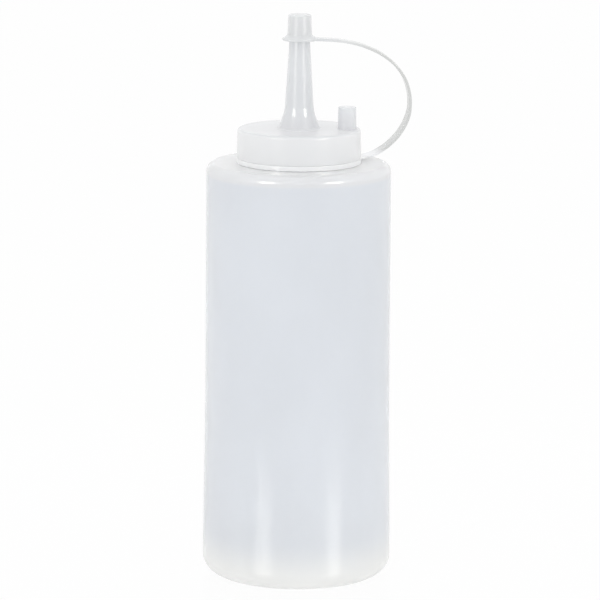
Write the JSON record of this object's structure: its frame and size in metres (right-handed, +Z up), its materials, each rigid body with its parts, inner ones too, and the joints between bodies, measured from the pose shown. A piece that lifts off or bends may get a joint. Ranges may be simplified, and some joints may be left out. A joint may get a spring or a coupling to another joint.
{
  "type": "squeeze bottle",
  "caption": "Translucent cylindrical squeeze bottle for sauces, standing upright, with a screw cap, a long tapered nozzle and a tip cap on a looping strap.",
  "frame": {"origin": "centre of the base, on the surface the bottle stands on", "axes": "+Z up along the bottle's axis; +X towards the side that the tip cap's strap loops out on"},
  "size_m": [0.0706, 0.0646, 0.1929],
  "materials": {
    "body_plastic": "translucent, satin, natural uncoloured",
    "cap_plastic": "translucent, smooth, natural uncoloured",
    "tip_plastic": "translucent, smooth, natural uncoloured"
  },
  "bodies": {
    "root": {"bottle": "body_plastic", "screw_cap": "cap_plastic", "tip_cap": "tip_plastic"}
  },
  "joints": []
}
